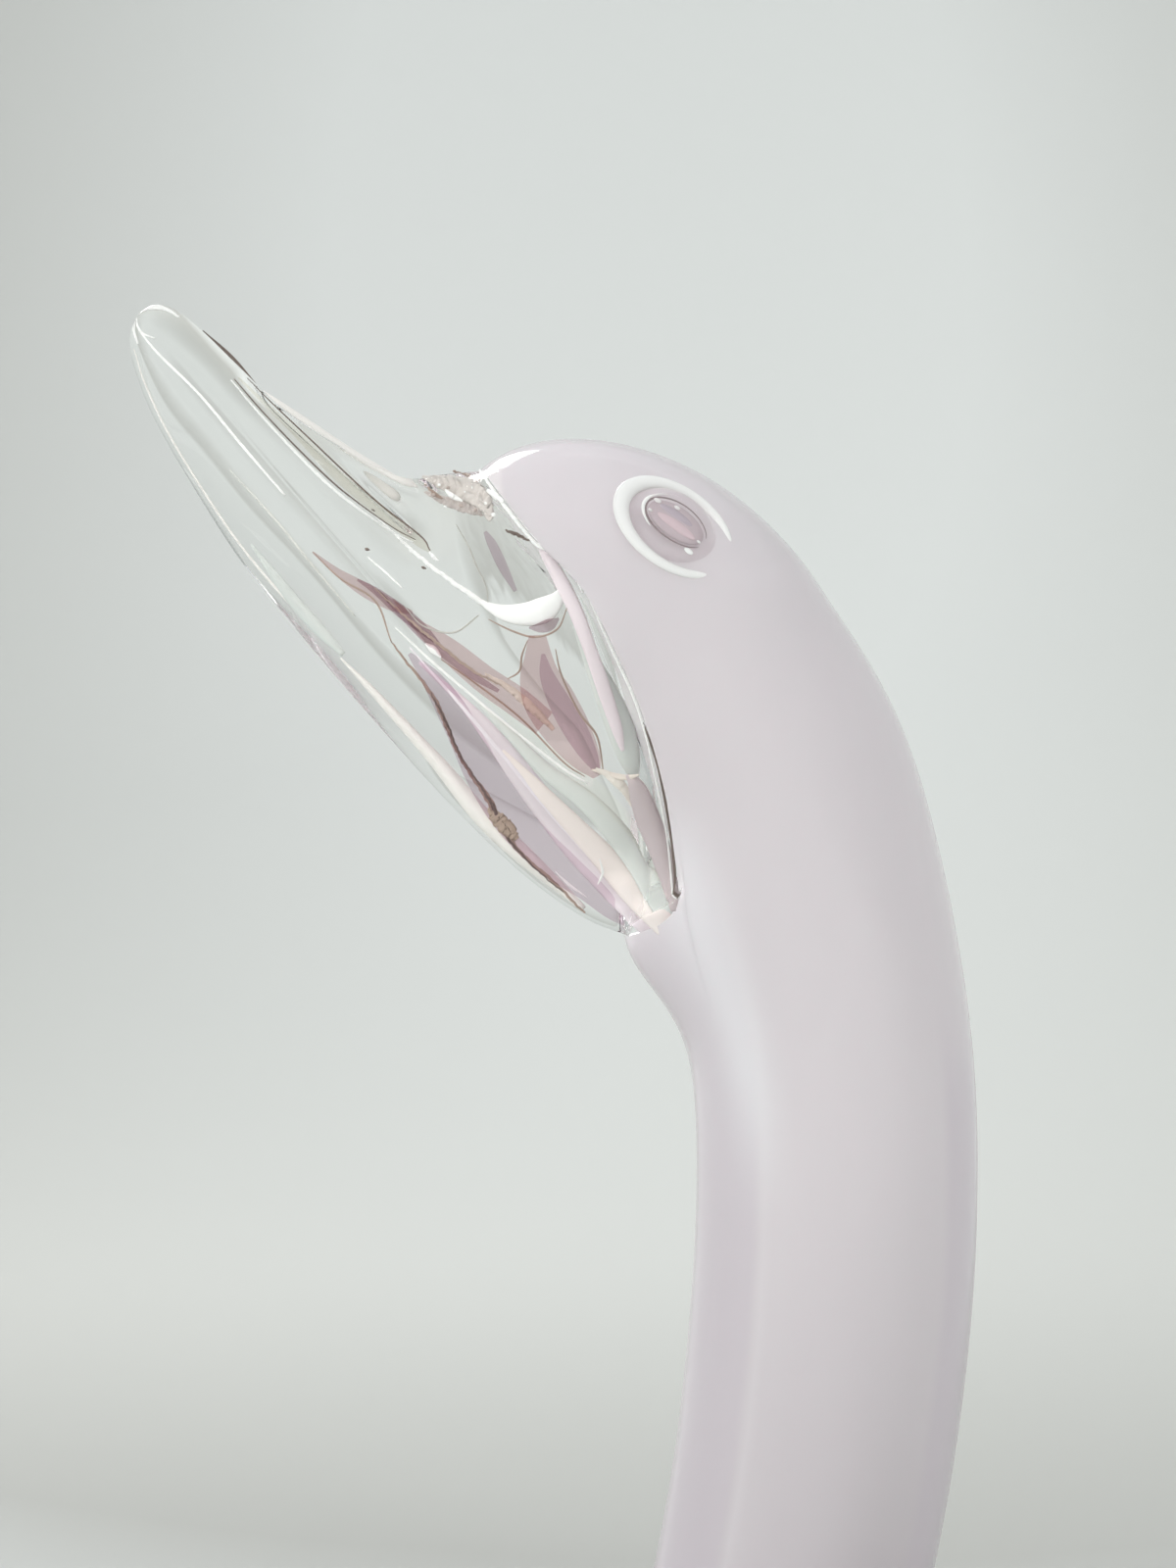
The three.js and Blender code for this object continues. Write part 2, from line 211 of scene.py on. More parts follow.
for name, value in (
    # A soft painted highlight at the throat, where the left lamp's reflection falls.
    ("painted_highlight", highlight_patch * ramp(heights, 34, 50) * (1 - ramp(heights, 62, 76))),
    ("band", nape_band + FRONT_BAND_SHARE * front_band),
    # A thin painted highlight line beside the front band.
    ("line", np.exp(-(((front - HIGHLIGHT_LINE_FRONT) / HIGHLIGHT_LINE_WIDTH) ** 2)) * (1 - ramp(heights, 52, 66))),
    # Painted shade, darker towards the foot.
    ("deep", 1 - ramp(heights, 0, 50)),
):
    values = np.concatenate([[value[0].mean()], value.reshape(-1), [value[-1].mean()]])
    neck.data.attributes.new(name, "FLOAT", "POINT").data.foreach_set("value", values)

opal, nodes, links, shader = material(
    "milky_lilac_glass", Roughness=0.08, IOR=1.5, Subsurface_Weight=0.35, Subsurface_Scale=0.004,
)
shader.inputs["Subsurface Radius"].default_value = (1.0, 0.85, 0.9)

# The mix node has sockets of the same names for numbers and for colours, so those for colours go by number.
MIX_BELOW, MIX_ABOVE, MIX_RESULT = 6, 7, 2


def mix(factor, below, above, most=1.0):
    """A colour node: the colour below, mixed with the one above by a factor between 0 and most."""
    made = nodes.new("ShaderNodeMix")
    made.data_type = "RGBA"
    scaled = nodes.new("ShaderNodeMath")
    scaled.operation = "MULTIPLY"
    scaled.use_clamp = True
    scaled.inputs[1].default_value = most
    links.new(factor, scaled.inputs[0])
    links.new(scaled.outputs["Value"], made.inputs["Factor"])
    for socket, colour in ((MIX_BELOW, below), (MIX_ABOVE, above)):
        if isinstance(colour, tuple):
            made.inputs[socket].default_value = (*colour, 1)
        else:
            links.new(colour, made.inputs[socket])
    return made.outputs[MIX_RESULT]


def own(name):
    """The piece's own attribute of that name, as a factor."""
    made = nodes.new("ShaderNodeAttribute")
    made.attribute_name = name
    return made.outputs["Fac"]


place = nodes.new("ShaderNodeTexCoord")
drawn = nodes.new("ShaderNodeMapping")
drawn.inputs["Scale"].default_value = (1, 1, 0.25)
links.new(place.outputs["Object"], drawn.inputs["Vector"])
cloud = nodes.new("ShaderNodeTexNoise")
cloud.inputs["Scale"].default_value = 90
cloud.inputs["Detail"].default_value = 4
links.new(drawn.outputs["Vector"], cloud.inputs["Vector"])
milky = mix(cloud.outputs["Fac"], (0.735, 0.68, 0.705), (0.795, 0.74, 0.76))
# Painted shade, darker towards the foot.
milky = mix(own("deep"), milky, (0.60, 0.55, 0.575), 0.6)
milky = mix(own("band"), milky, (0.65, 0.585, 0.64), 0.5)
# The thin painted highlight line.
milky = mix(own("line"), milky, (0.84, 0.80, 0.82), 0.2)
# The soft painted highlight at the throat.
milky = mix(own("painted_highlight"), milky, (0.90, 0.88, 0.90), 0.7)
links.new(milky, shader.inputs["Base Color"])
neck.data.materials.append(opal)
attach(neck, "root")
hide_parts("neck_and_head")

# The bill: a gather of clear glass, fused to the slanting face and drawn out to a blunt tip. Pincers squeezed
# a furrow under its ridge and the line of the mouth on each side. Its root laps over the lilac glass in a
# thin lip. Each station gives its ridge, its chin and half its thickness.

ROOT_BEHIND_BROW = 1.9
ROOT_BEHIND_THROAT = 0.4
ROOT_HALF = 8.4
brow, throat = rim[AROUND // 2], rim[0]
BILL_STATIONS = [
    ((brow[0] + ROOT_BEHIND_BROW, brow[2]), (throat[0] + ROOT_BEHIND_THROAT, throat[2]), ROOT_HALF),
    ((-29.5, 99.9), (-17.3, 61.6), 8.2), ((-32.5, 99.6), (-22.6, 65.4), 7.6),
    ((-36.2, 101.1), (-28.6, 71.2), 6.9), ((-40.0, 103.4), (-35.0, 78.2), 6.1),
    ((-43.6, 105.9), (-41.1, 85.3), 5.2), ((-47.0, 109.2), (-46.8, 92.3), 4.3),
    ((-50.4, 112.5), (-51.4, 99.5), 3.4), ((-52.6, 114.2), (-54.5, 105.0), 2.7),
    ((-54.3, 114.6), (-56.2, 109.4), 2.0), ((-55.5, 114.0), (-56.5, 111.4), 1.2),
    ((-56.1, 113.1), (-56.4, 112.4), 0.3),
]
SECTION_TOP_HEAVY = 0.76
SECTION_BLUNT = 0.6
ROOT_BEND = 0.45
CHEEK_BLEND = 4
BILL_PITCH = math.radians(44)
BILL_TIP = (-54.9, 114.1)
GROOVE = {"from": 9, "to": 33, "fade": 5, "drop": -1.9, "growth": 0, "width": 1.3, "pinch": 0.5}
MOUTH = {"from": 0.5, "to": 41, "fade": 7, "drop": 0.9, "growth": 0.085, "width": 0.9, "pinch": 0.15}

axis_table = np.linspace(0, AXIS_LENGTH, 900)
axis_x, axis_z, axis_fx, axis_fz, axis_radius = rod_at(axis_table)


def rod_half_width(x, z):
    """Half the rod's width at a point of its side view: the height of its round section over the nearest
    place on the axis, with the throat's swell stretching it forwards."""
    gaps = (np.asarray(x)[..., None] - axis_x) ** 2 + (np.asarray(z)[..., None] - axis_z) ** 2
    near = gaps.argmin(-1)
    ahead = (x - axis_x[near]) * axis_fx[near] + (z - axis_z[near]) * axis_fz[near]
    radius = axis_radius[near]
    forward = np.clip(ahead / np.maximum(radius, 1e-6), 0, 1)
    reach = radius + throat_swell(axis_z[near]) * forward**2
    turn = np.sqrt(gaps.min(-1)) / np.maximum(reach, 1e-6)
    return radius * np.sqrt(np.clip(1 - turn**2, 0, None))


def soft_max(a, b, soft):
    """The greater of two widths, with the step between them rounded over the distance soft."""
    near = np.clip(soft - np.abs(a - b), 0, None) / soft
    return np.maximum(a, b) + near * near * soft / 4


def pincer_mark(x, z, mark):
    """How deep a pincer mark is, as a share of the thickness: a bell curve across a line along the bill,
    faded in and out at its ends."""
    back, under = x - BILL_TIP[0], BILL_TIP[1] - z
    along = back * math.cos(BILL_PITCH) + under * math.sin(BILL_PITCH)
    below = under * math.cos(BILL_PITCH) - back * math.sin(BILL_PITCH)
    off = below - mark["drop"] - mark["growth"] * along
    begun = ramp(along, mark["from"], mark["from"] + mark["fade"])
    ended = ramp(along, mark["to"] - mark["fade"], mark["to"])
    return mark["pinch"] * begun * (1 - ended) * np.exp(-((off / mark["width"]) ** 2))


GLASS_IOR = 1.24
BILL_AROUND = 192
BILL_ALONG = 200
HEART_OF_HEAD = (-6.0, 0, 79.7)
run = np.linspace(0, 1, BILL_ALONG)[:, None]
turn = np.arange(BILL_AROUND)[None] / BILL_AROUND
share = (1 - np.cos(2 * np.pi * np.minimum(turn, 1 - turn))) / 2
on_a_side = (share > 1e-9) & (share < 1 - 1e-9)
side_sign = np.where(turn < 0.5, -1.0, 1.0) * on_a_side
ridge = curve_through([s[0] for s in BILL_STATIONS], run[:, 0])
chin = curve_through([s[1] for s in BILL_STATIONS], run[:, 0])
half = curve_through([(s[2],) for s in BILL_STATIONS], run[:, 0])
x = ridge[:, :1] + (chin - ridge)[:, :1] * share
z = ridge[:, 1:] + (chin - ridge)[:, 1:] * share
at_root = (1 - ramp(run, 0, ROOT_BEND)) ** 2
x = x + (face_x(z) - x) * at_root * ramp(np.sin(np.pi * share), 0, 0.3)
belly = np.sin(np.pi * share**SECTION_TOP_HEAVY) ** SECTION_BLUNT
plain = half * belly * (1 - pincer_mark(x, z, GROOVE)) * (1 - pincer_mark(x, z, MOUTH))
cheek = rod_half_width(x, z)
y = soft_max(plain, cheek, CHEEK_BLEND) * side_sign
bill_rings = np.stack([x, y, z], axis=-1)
inside = bill_rings[0] + (np.array(HEART_OF_HEAD) - bill_rings[0]) * np.array([0.3, 0.15])[:, None, None]
bill = skin("swan_bill", np.concatenate([inside, bill_rings]))
clear = material(
    "clear_glass", Base_Color=(0.98, 0.985, 0.97, 1), Roughness=0.0, IOR=GLASS_IOR, Transmission_Weight=1.0,
)[0]
bill.visible_shadow = False
bill.data.materials.append(clear)
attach(bill, "root")
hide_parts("bill")

# What is sealed in the bill: threads and veils of the lilac glass, drawn out between the two gathers, with
# brown scum and small bubbles along their edges, and painted light: white, cream and peach trails are painted
# highlights where the clear glass catches light, and some dark lines are painted shade. Each is a flat trail.
# Its places are given as they are seen from the side, in pixels of the photo, with half its width.

PHOTO_PIXEL = 0.085
PHOTO_ORIGIN = (798, 1660)
THINNEST = 0.03
SHAKE = 0.03
TRAIL_AROUND = 16
TRAIL_STEPS = 10
RAGGED_STEPS = 24
EVENED_OVER = 13


def seen(px, py):
    """The place in the side view of a point of the photo: its pixels from the origin's, times their size."""
    return (px - PHOTO_ORIGIN[0]) * PHOTO_PIXEL, (PHOTO_ORIGIN[1] - py) * PHOTO_PIXEL


bill_side = bill_rings[:, :BILL_AROUND // 2 + 1].reshape(-1, 3)


def bill_half(x, z):
    """Half the bill's thickness at places in the side view, from the nearest point of its surface."""
    gaps = (x[:, None] - bill_side[:, 0]) ** 2 + (z[:, None] - bill_side[:, 2]) ** 2
    return np.abs(bill_side[gaps.argmin(1), 1])


def trail(name, stuff, places, depth=0.8, flat=0.35, inner=False, ragged=0):
    """A closed trail: ellipses along a smooth line, with the half widths given and flat times as thick, at a
    depth under the near surface of the glass, evened over its neighbours, or on the middle plane where it is
    an inner one. A ragged one is shaken by a sum of three sines along its length."""
    line = curve_through(
        np.array([(*seen(px, py), width * PHOTO_PIXEL) for px, py, width in places]),
        np.linspace(0, 1, (RAGGED_STEPS if ragged else TRAIL_STEPS) * len(places)),
    )
    beat = np.arange(len(line))
    shake = np.sin(beat * 0.9 + 1) + np.sin(beat * 0.37 + 2) + np.sin(beat * 1.7)
    swing = np.stack([shake, np.roll(shake, 5), 0.8 * np.roll(shake, 9) * line[:, 2]], axis=-1)
    line = line + ragged * SHAKE * swing
    x, z, wide = line[:, 0], line[:, 1], np.maximum(line[:, 2], THINNEST)
    dx, dz = np.gradient(x), np.gradient(z)
    size = np.hypot(dx, dz)
    dx, dz = dx / size, dz / size
    middle = -np.maximum(bill_half(x, z) - depth, 0) * (not inner)
    middle = np.pad(middle, EVENED_OVER // 2, "edge")
    middle = np.convolve(middle, np.ones(EVENED_OVER) / EVENED_OVER, "valid")
    thick = np.maximum(wide * flat, THINNEST)
    spin = 2 * np.pi * np.arange(TRAIL_AROUND) / TRAIL_AROUND
    across, deep = np.cos(spin), np.sin(spin)
    made = skin(name, np.stack([
        x[:, None] - dz[:, None] * wide[:, None] * across,
        middle[:, None] + thick[:, None] * deep,
        z[:, None] + dx[:, None] * wide[:, None] * across,
    ], axis=-1))
    made.data.materials.append(stuff)
    made.visible_shadow = False
    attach(made, "root")
    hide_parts("bill")


def veil(name, colour):
    """Tinted clear glass that bends no light where it lies in the clear glass: it only colours what is
    behind it."""
    return material(name, Base_Color=(*colour, 1), Roughness=0.0, IOR=1.0, Transmission_Weight=1.0)[0]


def milk(name, colour, rough=0.3):
    """Cloudy glass, or painted highlight and shade: plain colour, hardly any gloss where it lies in the clear
    glass.
    """
    return material(name, Base_Color=(*colour, 1), Roughness=rough, IOR=1.1)[0]


lilac_veil = veil("lilac_veil", (0.78, 0.68, 0.74))
rose_veil = veil("rose_veil", (0.79, 0.64, 0.645))
beige_veil = veil("beige_veil", (0.90, 0.88, 0.82))
deep_veil = veil("deep_veil", (0.68, 0.56, 0.60))
# Dark lines: brown-black scum in places, and painted shade along the ridge's edge and the furrow's edges.
dark_scum_and_shade = milk("dark_scum_and_painted_shade", (0.20, 0.16, 0.14))
brown_line = milk("brown_scum", (0.42, 0.32, 0.27))
# White: painted highlights where the clear glass catches light, and the white of bubbles and glints.
highlight_white = milk("painted_highlight_white", (0.97, 0.97, 0.95))
# Cream: painted light along the chin's edge and along the ridge's thin web.
edge_light_cream = milk("painted_edge_light_cream", (0.93, 0.90, 0.86))
# Peach: a painted highlight along the wedge's back.
peach_highlight = milk("painted_highlight_peach", (0.95, 0.87, 0.83))
light_lilac = milk("light_lilac_thread", (0.85, 0.775, 0.81))
green_milk = milk("pale_green_glass", (0.74, 0.775, 0.74))

# The wedge over the chin: a fold of the lilac glass drawn forwards from the throat. It is clear mauve outside,
# has a pale lilac streak and a peach painted highlight along its back, and a seam of brown scum with one lump
# at its lower edge.
trail("wedge_lilac", lilac_veil, [
    (420, 668, 2), (447, 700, 12), (474, 745, 18), (500, 790, 24), (527, 833, 24), (563, 874, 20),
    (600, 905, 14), (624, 927, 10), (638, 942, 3),
])
trail("wedge_light", light_lilac, [
    (430, 676, 1), (470, 712, 5), (505, 752, 10), (545, 805, 14), (585, 858, 15), (618, 896, 14),
    (642, 924, 12), (664, 950, 9), (676, 966, 5),
], depth=1.6)
lilac_white = milk("lilac_white", (0.92, 0.86, 0.9))
trail("wedge_streak", lilac_white, [
    (420, 662, 0.6), (465, 712, 1.6), (510, 765, 2), (560, 826, 2), (600, 872, 1.5), (620, 895, 0.6),
], depth=0.8)
# A peach painted highlight along the wedge's back.
trail("wedge_peach", peach_highlight, [
    (514, 765, 2), (545, 798, 7), (575, 829, 10), (618, 874, 14), (648, 908, 16), (672, 936, 13),
    (690, 960, 8),
], depth=1.2)
trail("wedge_edge", brown_line, [
    (402, 657, 0.8), (441, 707, 2), (454, 733, 2.4), (467, 764, 2), (480, 787, 2), (501, 818, 3.5),
    (510, 842, 2.6), (536, 874, 2), (564, 898, 1.6), (597, 931, 1),
], depth=0.6, ragged=1)
trail("wedge_dark", dark_scum_and_shade, [
    (441, 707, 0.6), (457, 737, 1.2), (470, 768, 0.8), (490, 800, 1), (505, 825, 1.8), (515, 850, 1.4),
    (545, 884, 0.8), (575, 910, 0.6),
], depth=0.5, ragged=1)
lump_scum = milk("lump_scum", (0.5, 0.43, 0.33))
trail("wedge_lump", lump_scum, [
    (500, 824, 2), (508, 834, 7), (518, 844, 8), (528, 856, 3),
], depth=0.6, ragged=1.5)
pale_veil = veil("pale_veil", (1.0, 1.0, 0.97))
trail("wedge_pale", pale_veil, [
    (450, 665, 1), (510, 722, 4), (575, 779, 7), (618, 813, 8), (662, 868, 7), (684, 911, 3),
], depth=1.0)

# The boot: a rosy fold that hangs from under the brow. Its leg widens downwards, its long toe runs forwards to
# the tongue over the wedge, and brown scum and one white painted highlight mark its edges.
trail("boot_leg", rose_veil, [
    (550, 650, 9), (551, 672, 15), (553, 692, 22), (562, 715, 27), (582, 748, 24), (600, 776, 15),
    (609, 792, 4),
])
trail("boot_heel", lilac_veil, [
    (556, 668, 2), (560, 690, 8), (572, 716, 12), (588, 744, 13), (602, 770, 9), (611, 788, 2),
], depth=1.2)
trail("boot_left", brown_line, [(540, 655, 0.5), (534, 670, 1), (531, 686, 1), (519, 694, 0.6)], depth=0.6)
trail("boot_right", brown_line, [
    (568, 664, 0.5), (574, 690, 1), (592, 728, 1.2), (610, 752, 1.2), (616, 790, 0.6),
], depth=0.6)
trail("boot_toe", rose_veil, [
    (404, 612, 1), (430, 640, 7), (462, 666, 12), (496, 694, 14), (528, 716, 15), (556, 738, 14),
], depth=1.0)
trail("toe_root", deep_veil, [
    (366, 594, 1), (388, 607, 5), (410, 623, 8), (432, 641, 6), (450, 658, 2),
], depth=0.9)
trail("toe_edge", deep_veil, [
    (388, 604, 1), (420, 638, 3.5), (450, 664, 4.5), (484, 690, 4), (510, 706, 2),
], depth=0.6)
trail("toe_brown", brown_line, [
    (384, 602, 0.6), (418, 632, 1.4), (448, 657, 1.5), (482, 684, 1.4), (512, 700, 0.6),
], depth=0.5, ragged=1)
# A white painted highlight along the toe's edge.
trail("toe_white", highlight_white, [
    (405, 642, 0.6), (440, 674, 1.4), (480, 708, 1.4), (530, 749, 1.2), (575, 784, 1.4), (600, 799, 0.8),
], depth=0.4)
trail("boot_line", brown_line, [
    (452, 674, 0.5), (484, 696, 0.9), (532, 733, 1), (575, 777, 0.9), (597, 792, 0.5),
], depth=0.6)
ochre_thread = milk("ochre_thread", (0.64, 0.53, 0.47))
trail("boot_ochre", ochre_thread, [
    (496, 688, 1), (522, 704, 3.5), (545, 724, 4.5), (566, 745, 2),
], depth=0.7, ragged=0.7)
trail("clear_blade_low", green_milk, [
    (486, 712, 1), (522, 748, 5), (560, 786, 8), (600, 816, 11), (632, 850, 13), (656, 886, 13),
    (672, 918, 10), (686, 948, 3),
], depth=2.0)
trail("clear_blade_high", green_milk, [
    (588, 640, 2), (610, 685, 10), (630, 730, 15), (643, 768, 13), (650, 795, 4),
], depth=2.0)

# The lip: where the clear glass laps on to the lilac face, a dark line and a white painted highlight run side
# by side, with a rosy wedge between them and the fold, tied to the boot's heel by a cream knot.
lip_rose = milk("lip_rose", (0.62, 0.54, 0.545))
trail("lip_wedge", lip_rose, [
    (640, 790, 2), (650, 803, 10), (661, 832, 14), (673, 864, 12.5), (682, 898, 9), (687, 928, 3.5),
], depth=0.5)
beige_thread = milk("beige_thread", (0.78, 0.71, 0.64))
trail("bridge", beige_thread, [(604, 785, 1), (622, 790, 3), (640, 793, 3), (652, 790, 1)], depth=0.5)
knot_cream = milk("knot_cream", (0.84, 0.79, 0.72))
trail("bridge_knot", knot_cream, [
    (608, 784, 1), (620, 790, 4), (630, 797, 6), (638, 806, 5), (645, 822, 1.5),
], depth=0.4)
trail("lip_dark", dark_scum_and_shade, [
    (651, 727, 0.64), (664, 761, 1.3), (673, 792, 1.4), (683, 846, 1.6), (688, 890, 1.4), (686, 914, 0.7),
], depth=0.4)
# A white painted highlight along the lip.
trail("lip_white", highlight_white, [
    (600, 611, 0.8), (622, 660, 1.5), (645, 710, 1.6), (659, 752, 1.6), (668, 792, 1.4), (679, 846, 1.2),
    (685, 900, 1.2), (685, 920, 0.7),
], depth=0.4)
# A white painted highlight along the root's edge under the brow.
trail("root_white", highlight_white, [
    (490, 482, 1), (515, 518, 2), (540, 550, 2), (552, 562, 2), (569, 568, 2), (584, 585, 2), (595, 608, 1),
], depth=0.4)

# Under the brow: a pale pink band down the lip, a painted highlight where light gathers in a bright white pool,
# the white painted streak of light that feeds it, and the gritty scum with bubbles that was shut in when the
# two gathers met.
pale_pink_thread = milk("pale_pink_thread", (0.9, 0.81, 0.84))
trail("pink_band", pale_pink_thread, [
    (554, 564, 4), (570, 590, 7), (588, 626, 7.5), (604, 668, 7), (618, 708, 7.5), (630, 744, 6),
    (636, 766, 2),
])
trail("brow_streak", lilac_veil, [(497, 546, 2), (505, 560, 5), (516, 583, 5), (528, 606, 2)])
# A painted highlight: a bright white pool of light.
trail("white_blob", highlight_white, [
    (488, 613, 1), (503, 622, 5), (520, 628, 9), (540, 629, 12), (556, 625, 13), (568, 616, 9),
    (575, 604, 2),
])
trail("blob_kite", deep_veil, [(541, 643, 1), (552, 643, 5), (562, 640, 6), (571, 634, 1)], depth=0.2)
trail("blob_edge", brown_line, [
    (500, 634, 0.5), (525, 646, 1), (548, 652, 1), (570, 644, 0.9), (580, 622, 0.5),
], depth=0.5)
# A white painted streak of light that feeds the pool.
trail("white_brush", highlight_white, [
    (380, 527, 0.6), (402, 547, 1.6), (423, 566, 2), (460, 594, 2.2), (497, 619, 3),
], ragged=1)
# A short white painted highlight.
trail("thin_white", highlight_white, [(378, 570, 0.6), (395, 585, 1), (413, 602, 0.6)])
hook_grey = milk("hook_grey", (0.52, 0.50, 0.46))
trail("wavy", hook_grey, [
    (467, 538, 0.42), (480, 560, 0.6), (488, 579, 0.66), (498, 600, 0.6), (500, 618, 0.42),
])
trail("wavy_low", hook_grey, [(416, 620, 0.42), (435, 640, 0.72), (465, 647, 0.9), (490, 630, 0.6)])
brow_beige = milk("brow_beige", (0.72, 0.67, 0.63))
trail("brow_brown", brow_beige, [
    (430, 488, 2), (452, 494, 8), (478, 502, 12), (496, 516, 9), (503, 534, 3),
], ragged=1)
brow_grey = milk("brow_grey", (0.62, 0.56, 0.53))
trail("brow_low", brow_grey, [
    (434, 506, 2), (452, 514, 5), (476, 521, 6), (496, 528, 3),
], depth=1.4, ragged=1)
trail("brow_dark", brown_line, [(462, 480, 0.8), (474, 486, 2), (486, 494, 2), (492, 504, 0.8)], ragged=1)
# A white painted highlight in the scum.
trail("brow_spark", highlight_white, [(489, 479, 0.8), (493, 486, 2), (492, 495, 0.8)], depth=0.3)
trail("brow_specks", dark_scum_and_shade, [(517, 545, 0.8), (528, 549, 1.8), (541, 556, 0.8)], depth=0.3, ragged=1)
trail("brow_bits", brown_line, [(437, 500, 0.8), (446, 508, 2.5), (452, 512, 0.8)], ragged=1)
# Two white painted highlights in the scum.
trail("brow_white", highlight_white, [(455, 502, 1), (463, 509, 3), (474, 514, 1)], depth=0.5)
trail("brow_bar", highlight_white, [(498, 503, 1.5), (506, 509, 3), (515, 516, 1.5)], depth=0.3)

# The tongue: the thin point of the rosy fold, drawn out ahead of the boot's toe when the clear glass was
# pulled. It has a brown edge and one bright speck, a painted highlight.
trail("tongue", rose_veil, [(322, 565, 1), (350, 588, 4), (378, 606, 7), (400, 618, 7), (424, 626, 2)])
trail("tongue_line", brown_line, [
    (322, 565, 0.48), (350, 592, 0.9), (385, 616, 0.96), (402, 657, 0.6),
], depth=0.5)
# A white painted highlight.
trail("tongue_spark", highlight_white, [(436, 658, 1), (444, 664, 4), (452, 672, 1)], depth=0.5)

# The ridge, the mouth and the chin: white painted highlights and dark painted shade along the pincers' marks
# and the rounded edges of the clear glass, cream painted light along the chin and the ridge's web, and a few
# loose specks.
# Painted light along the chin's edge.
trail("chin_band", edge_light_cream, [
    (352, 668, 1), (387, 704, 4.5), (446, 772, 8), (491, 829, 9.5), (536, 872, 9.5), (597, 926, 3),
], inner=True, flat=1.2)
trail("chin_pale", green_milk, [
    (258, 556, 1), (282, 588, 5), (303, 615, 7), (328, 643, 7), (352, 668, 3),
], depth=0.3)
# Painted light along the chin's edge.
trail("chin_thin", edge_light_cream, [
    (140, 356, 0.5), (152, 393, 1), (181, 452, 1.2), (244, 548, 1.4), (300, 614, 1.4), (352, 664, 0.8),
], inner=True, flat=1)
# A white painted highlight along the mouth line.
trail("mouth_white", highlight_white, [
    (144, 338, 1), (163, 362, 1.2), (207, 407, 1.4), (250, 459, 1.4), (293, 509, 1),
])
# White painted highlights round the tip.
trail("tip_ring", highlight_white, [
    (143, 352, 1), (139, 336, 1.6), (144, 322, 2), (156, 316, 3), (170, 318, 2), (183, 326, 1),
])
trail("tip_inner", highlight_white, [(142, 322, 0.6), (142, 333, 1), (148, 342, 1), (160, 347, 0.6)], depth=0.4)
# A white painted highlight along the furrow.
trail("groove_low", highlight_white, [
    (237, 390, 0.7), (272, 431, 1.4), (337, 498, 1.6), (391, 539, 1.4), (424, 557, 0.7),
], depth=0.4)
# Painted shade along the furrow's edges.
trail("groove_low_dark", dark_scum_and_shade, [
    (240, 389, 0.5), (274, 428, 1), (339, 494, 1.2), (393, 535, 1), (426, 554, 0.5),
], depth=0.5)
trail("groove_high", dark_scum_and_shade, [
    (252, 388, 0.5), (315, 448, 1), (380, 509, 1.1), (430, 548, 1), (441, 565, 0.6),
], depth=0.5)
trail("groove_inside", beige_veil, [
    (243, 388, 1), (300, 442, 5), (345, 489, 8), (390, 527, 8), (425, 553, 6), (441, 566, 2),
], depth=0.8)
# A white painted highlight at the furrow's end.
trail("groove_spark", highlight_white, [(440, 566, 0.6), (444, 571, 2), (449, 575, 0.6)], depth=0.4)


def bubble(name, stuff, px, py, size, depth):
    """A trail as long as it is wide: a bubble or a grain of scum."""
    trail(name, stuff, [(px - size, py - 1, 0.4), (px, py, size), (px + size, py + 1, 0.4)], depth, flat=0.7)


# The bubbles are white drops: their white is painted reflection.
for count, (px, py, size) in enumerate((
    (463, 509, 3), (449, 497, 1.6), (470, 488, 1.5), (484, 500, 2), (455, 520, 1.4), (497, 517, 1.6),
    (505, 529, 2.2), (476, 505, 1.2),
)):
    bubble(f"brow_bubble_{count}", highlight_white, px, py, size, 0.45)
brow_grain = milk("brow_grain", (0.52, 0.44, 0.40))
for count, (px, py, size) in enumerate((
    (479, 487, 3), (443, 508, 2.5), (490, 492, 2), (472, 519, 2.4), (458, 500, 1.8), (435, 497, 1.6),
    (487, 524, 1.8),
)):
    bubble(f"brow_grain_{count}", brow_grain, px, py, size, 0.5)

# Two short white painted highlights.
trail("tick", highlight_white, [(612, 876, 0.5), (615, 890, 1.4), (610, 902, 0.5)], depth=0.4)
trail("low_streak", highlight_white, [(567, 889, 0.5), (582, 903, 1.4), (599, 915, 0.5)], depth=0.4)
trail("speck_a", dark_scum_and_shade, [(375, 562, 0.4), (377, 563, 1.6), (380, 564, 0.4)], depth=0.4)
trail("speck_b", dark_scum_and_shade, [(380, 522, 0.4), (382, 523, 1.4), (384, 524, 0.4)], depth=0.4)
trail("speck_c", dark_scum_and_shade, [(432, 581, 0.4), (434, 582, 1.4), (437, 583, 0.4)], depth=0.4)
soft_grey = milk("soft_grey", (0.72, 0.72, 0.68))
trail("mouth_soft", soft_grey, [
    (237, 481, 0.6), (283, 531, 1.2), (315, 570, 1.2), (365, 630, 0.6),
], depth=0.5)
# Painted shade along the ridge's edge.
trail("culmen_dark", dark_scum_and_shade, [(207, 338, 1), (237, 366, 2.5), (267, 400, 1)])
# Painted light along the ridge's thin web.
trail("culmen_cream", edge_light_cream, [
    (268, 400, 2), (304, 426, 4.5), (359, 465, 6.5), (408, 497, 8), (425, 506, 2),
], inner=True, flat=0.8)

# The eyes: two drops of clear glass, pressed hot on to the sides of the head. Each has a painted white ring of
# light round its foot, and shows a rosy lens with a darker rim, a white painted highlight and small painted
# glints in it.

EYE_AT = (-9.5, 95.2)
EYE_SIZE = (8.6, 7.4)
EYE_HEIGHT = 1.9
EYE_SINK = 1.2
RING_REACH = (5.25, 3.8)
RING_SINK = 0.35
LENS_REACH = (2.65, 1.4)
LENS_RIM = (2.95, 1.7)
GLINTS = [(-2.32, -0.58, 0.36), (-0.62, -1.01, 0.28), (2.51, 0.39, 0.2), (2.29, 1.77, 0.42), (-2.37, 0.6, 0.22)]


